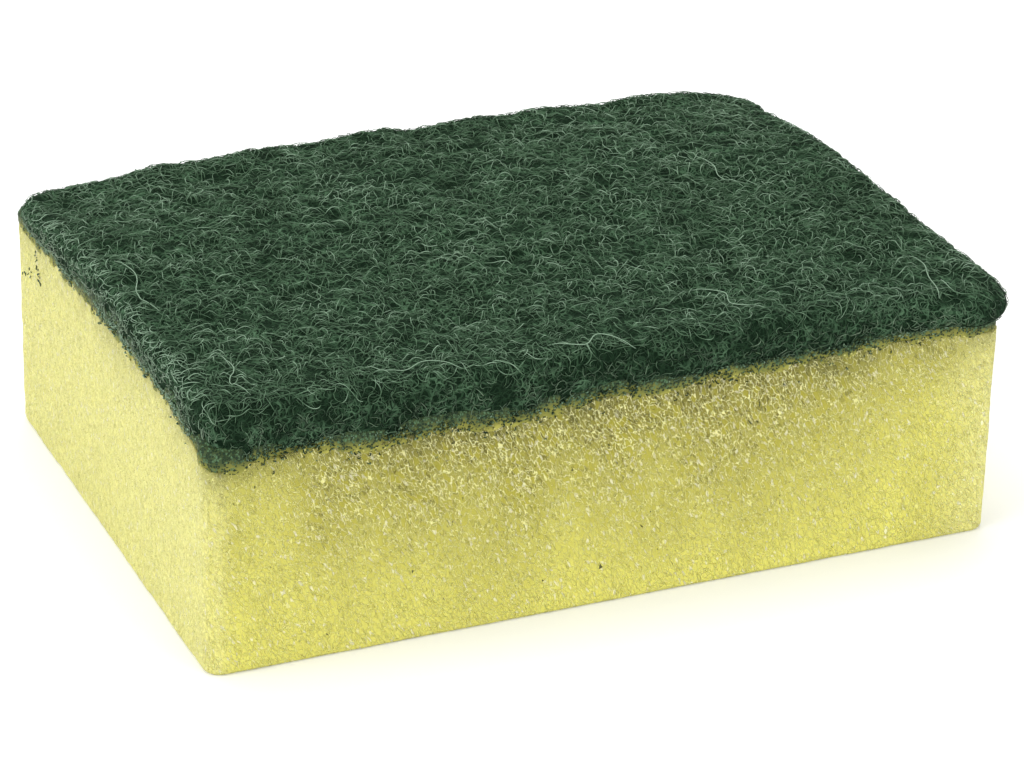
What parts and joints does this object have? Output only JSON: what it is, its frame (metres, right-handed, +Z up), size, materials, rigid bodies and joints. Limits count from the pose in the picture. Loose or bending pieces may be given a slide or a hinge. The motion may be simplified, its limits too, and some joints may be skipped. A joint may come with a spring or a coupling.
{
  "type": "cleaning sponge",
  "caption": "Rectangular yellow open-cell foam block with a dark green non-woven scouring pad bonded over its top face, for wiping and scrubbing.",
  "frame": {"origin": "middle of the foam face that it rests on, at the bottom centre of the whole part", "axes": "+X along the length, +Y across the width, +Z up through the foam to the scouring face"},
  "size_m": [0.101, 0.072, 0.034],
  "materials": {
    "foam": "soft open-cell polyurethane foam, pale yellow, matt",
    "adhesive": "cured glue film, ochre, flecked with caught green fibres",
    "scouring_fibre": "non-woven curled nylon fibres, dark green, rough"
  },
  "bodies": {
    "root": {"foam_block": "foam", "adhesive_layer": "adhesive", "scouring_pad": "scouring_fibre"}
  },
  "joints": []
}
